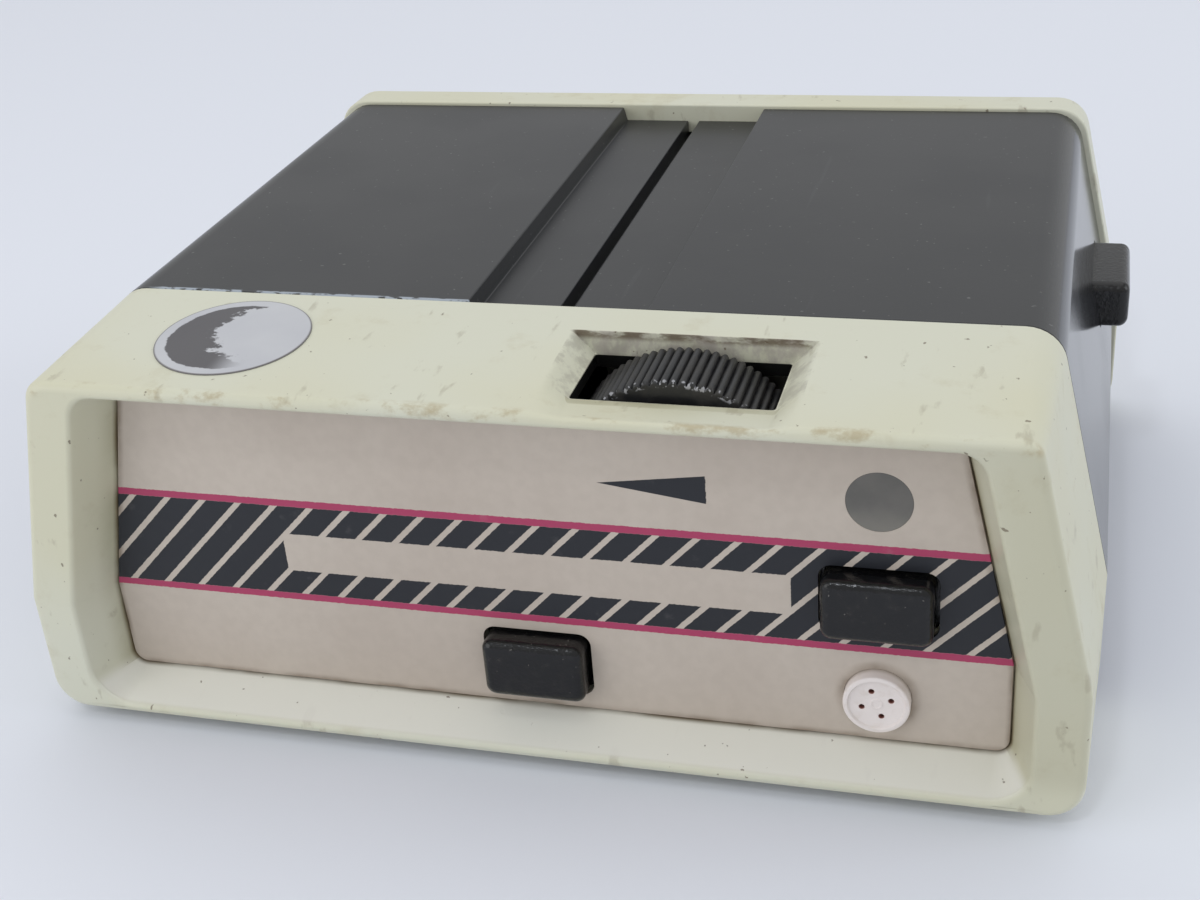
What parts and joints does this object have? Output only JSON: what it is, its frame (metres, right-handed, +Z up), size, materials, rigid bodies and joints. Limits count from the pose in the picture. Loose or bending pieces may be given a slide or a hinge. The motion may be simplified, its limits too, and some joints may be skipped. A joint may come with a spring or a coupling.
{
  "type": "desk_intercom",
  "caption": "Desk intercom: black sleeve with cream front bezel and rear cover, thumb wheel, push buttons, lamp window, microphone cap and speaker",
  "frame": {"origin": "on the supporting surface, under the middle of the object's box", "axes": "+X to the right seen from the front, +Y to the back, +Z up; the front panel faces -Y"},
  "size_m": [0.1244, 0.1014, 0.0471],
  "materials": {
    "case_black": "satin black paint on an extruded aluminium sleeve, glossier at the sides",
    "case_cream": "aged cream moulded plastic with fine specks",
    "label_print": "printed beige label with two crimson lines and a striped charcoal band",
    "sticker_paper": "worn plain round sticker",
    "window_grey": "grey translucent lamp window",
    "lamp_red": "red lamp body",
    "mic_white": "white moulded cap",
    "black_rubber": "black rubber",
    "button_black": "black moulded plastic, polished by use",
    "plunger_white": "white moulded plunger",
    "switch_blue": "dark blue switch housing",
    "steel": "zinc plated steel",
    "pot_case": "grey potentiometer case",
    "board_green": "green lacquered circuit board",
    "chip_black": "black moulded component case",
    "aluminium": "plain aluminium",
    "transformer_iron": "varnished laminations and winding",
    "capacitor_blue": "blue capacitor sleeve",
    "resistor_tan": "tan resistor body",
    "cable_grey": "grey flat cable",
    "wire_red": "red insulated wire",
    "gasket_felt": "dark felt ring",
    "basket_steel": "grey plated basket",
    "cone_paper": "black paper cone",
    "magnet_iron": "ferrite magnet",
    "brass": "knurled brass"
  },
  "bodies": {
    "case": {"sleeve": "case_black", "front_bezel": "case_cream", "rear_cover": "case_cream", "panel_label": "label_print", "round_sticker": "sticker_paper", "lamp_window": "window_grey", "call_lamp": "lamp_red", "mic_cap": "mic_white", "mic_boot": "black_rubber", "foot_front_left": "black_rubber", "foot_front_right": "black_rubber", "foot_rear_left": "black_rubber", "foot_rear_right": "black_rubber", "talk_switch": "switch_blue", "call_switch": "switch_blue", "side_switch": "switch_blue", "talk_spring": "steel", "call_spring": "steel", "side_spring": "steel", "volume_nut": "steel", "volume_bracket": "steel", "bracket_screws": "steel", "switch_board_screws": "steel", "tie_screws": "steel", "speaker_screws": "steel", "speaker_nuts": "steel", "volume_pot": "pot_case", "switch_board": "board_green", "main_board": "board_green", "amplifier_chip": "chip_black", "dc_jack": "chip_black", "line_socket": "chip_black", "heat_sink": "aluminium", "mic_capsule": "aluminium", "line_transformer": "transformer_iron", "large_capacitors": "capacitor_blue", "small_capacitors": "capacitor_blue", "resistors": "resistor_tan", "ribbon_cable": "cable_grey", "speaker_wires": "wire_red", "speaker_gasket": "gasket_felt", "speaker_basket": "basket_steel", "speaker_cone": "cone_paper", "speaker_magnet": "magnet_iron", "brass_inserts": "brass"},
    "talk_button": {"talk_button": "button_black", "talk_plunger": "plunger_white"},
    "call_button": {"call_button": "button_black", "call_plunger": "plunger_white"},
    "side_button": {"side_button": "button_black", "side_plunger": "plunger_white"},
    "volume_wheel": {"thumbwheel": "button_black", "volume_shaft": "steel"}
  },
  "joints": [
    {"name": "talk_press", "type": "slide", "parent": "case", "child": "talk_button", "axis": [0, 1, 0], "range_m": [0, 0.0018], "stiffness_N_per_m": 400, "springref_m": -0.002, "deforming": ["talk_spring"]},
    {"name": "call_press", "type": "slide", "parent": "case", "child": "call_button", "axis": [0, 1, 0], "range_m": [0, 0.0018], "stiffness_N_per_m": 400, "springref_m": -0.002, "deforming": ["call_spring"]},
    {"name": "side_press", "type": "slide", "parent": "case", "child": "side_button", "axis": [-1, 0, 0], "range_m": [0, 0.002], "stiffness_N_per_m": 400, "springref_m": -0.002, "deforming": ["side_spring"]},
    {"name": "volume_turn", "type": "hinge", "parent": "case", "child": "volume_wheel", "pos_m": [0.01638, -0.03815, 0.0329], "axis": [0, 1, 0], "range_deg": [-135, 135]}
  ]
}
